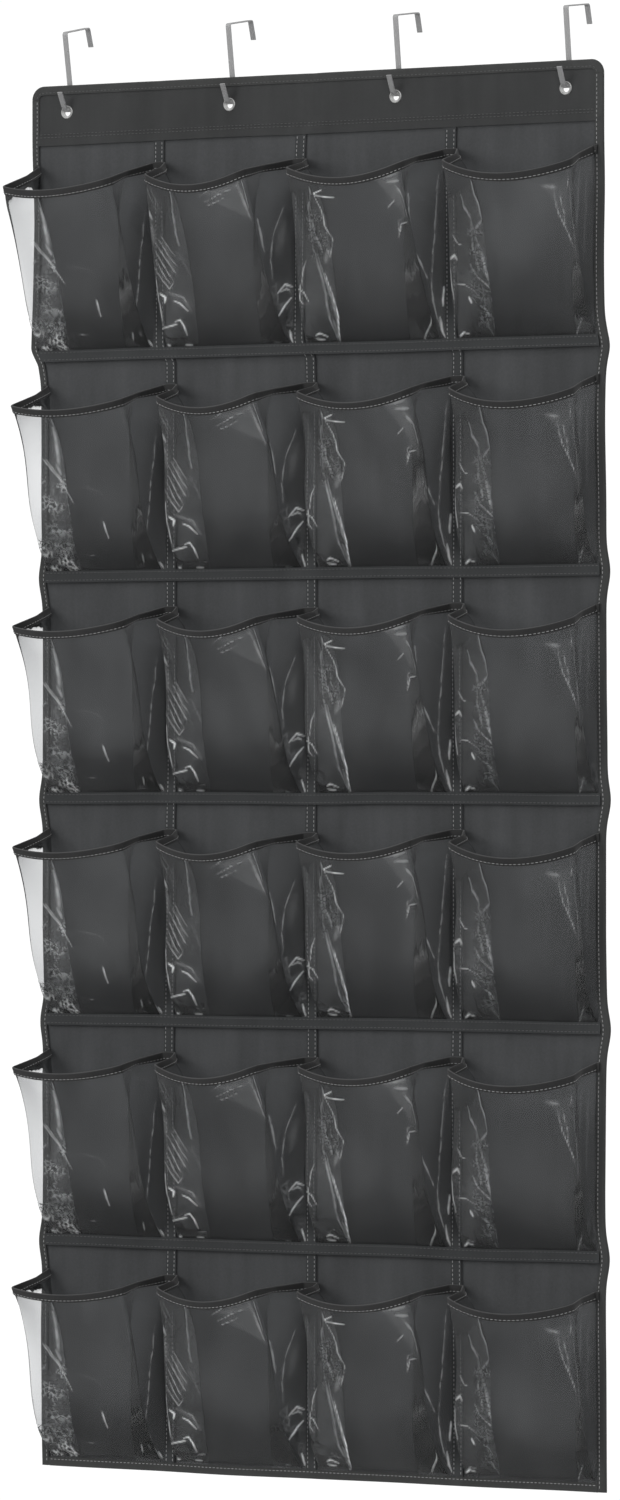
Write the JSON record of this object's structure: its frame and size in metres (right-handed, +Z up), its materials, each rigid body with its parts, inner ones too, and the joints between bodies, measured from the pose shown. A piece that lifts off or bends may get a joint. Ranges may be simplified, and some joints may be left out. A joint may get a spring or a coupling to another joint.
{
  "type": "over-the-door shoe organizer",
  "caption": "Tall cloth panel with rows of clear film pockets, edged in tape and hung from metal strip hooks through eyelets along its top.",
  "frame": {"origin": "mid-width of the panel, on the back face of its cloth, at the height of the hooks' seats, which is the top of the door", "axes": "+Z up, +X to the right seen from the front, -Y out of the panel's front, where the pockets are"},
  "size_m": [0.68, 0.1405, 1.514],
  "materials": {
    "panel_cloth": "dark grey woven cloth with a fine grain, matt",
    "header_cloth": "dark grey woven cloth with a fine grain, matt",
    "edge_binding": "dark grey folded tape, matt, with light stitches",
    "seam_tape": "dark grey flat tape, matt, stitched along both edges",
    "mouth_binding": "darker grey folded tape, matt, stitched near its lower edge",
    "stitch_thread": "lighter grey sewing thread",
    "clear_film": "clear soft film, glossy, creased",
    "eyelet_chrome": "bright plated",
    "hook_steel": "plated flat strip, satin"
  },
  "bodies": {
    "panel": {"back_panel": "panel_cloth", "binding_bottom": "edge_binding", "binding_left": "edge_binding", "binding_right": "edge_binding", "binding_top": "edge_binding", "column_tape_1": "seam_tape", "column_tape_2": "seam_tape", "column_tape_3": "seam_tape", "eyelet_1": "eyelet_chrome", "eyelet_2": "eyelet_chrome", "eyelet_3": "eyelet_chrome", "eyelet_4": "eyelet_chrome", "eyelet_washer_1": "eyelet_chrome", "eyelet_washer_2": "eyelet_chrome", "eyelet_washer_3": "eyelet_chrome", "eyelet_washer_4": "eyelet_chrome", "header_band": "header_cloth", "mouth_binding_row_1": "mouth_binding", "mouth_binding_row_2": "mouth_binding", "mouth_binding_row_3": "mouth_binding", "mouth_binding_row_4": "mouth_binding", "mouth_binding_row_5": "mouth_binding", "mouth_binding_row_6": "mouth_binding", "pocket_r1_c1": "clear_film", "pocket_r1_c2": "clear_film", "pocket_r1_c3": "clear_film", "pocket_r1_c4": "clear_film", "pocket_r2_c1": "clear_film", "pocket_r2_c2": "clear_film", "pocket_r2_c3": "clear_film", "pocket_r2_c4": "clear_film", "pocket_r3_c1": "clear_film", "pocket_r3_c2": "clear_film", "pocket_r3_c3": "clear_film", "pocket_r3_c4": "clear_film", "pocket_r4_c1": "clear_film", "pocket_r4_c2": "clear_film", "pocket_r4_c3": "clear_film", "pocket_r4_c4": "clear_film", "pocket_r5_c1": "clear_film", "pocket_r5_c2": "clear_film", "pocket_r5_c3": "clear_film", "pocket_r5_c4": "clear_film", "pocket_r6_c1": "clear_film", "pocket_r6_c2": "clear_film", "pocket_r6_c3": "clear_film", "pocket_r6_c4": "clear_film", "row_seam_tape_1": "seam_tape", "row_seam_tape_2": "seam_tape", "row_seam_tape_3": "seam_tape", "row_seam_tape_4": "seam_tape", "row_seam_tape_5": "seam_tape"},
    "hook_1": {"hook_1": "hook_steel"},
    "hook_2": {"hook_2": "hook_steel"},
    "hook_3": {"hook_3": "hook_steel"},
    "hook_4": {"hook_4": "hook_steel"}
  },
  "joints": [
    {"name": "hook_1_rock", "type": "hinge", "parent": "panel", "child": "hook_1", "pos_m": [-0.297, -0.00095, -0.07695], "axis": [1, 0, 0], "range_deg": [-45.5, 4]},
    {"name": "hook_2_rock", "type": "hinge", "parent": "panel", "child": "hook_2", "pos_m": [-0.099, -0.00095, -0.07695], "axis": [1, 0, 0], "range_deg": [-44, 5.5]},
    {"name": "hook_3_rock", "type": "hinge", "parent": "panel", "child": "hook_3", "pos_m": [0.099, -0.00095, -0.07695], "axis": [1, 0, 0], "range_deg": [-42.5, 7]},
    {"name": "hook_4_rock", "type": "hinge", "parent": "panel", "child": "hook_4", "pos_m": [0.297, -0.00095, -0.07695], "axis": [1, 0, 0], "range_deg": [-42, 7.5]}
  ]
}
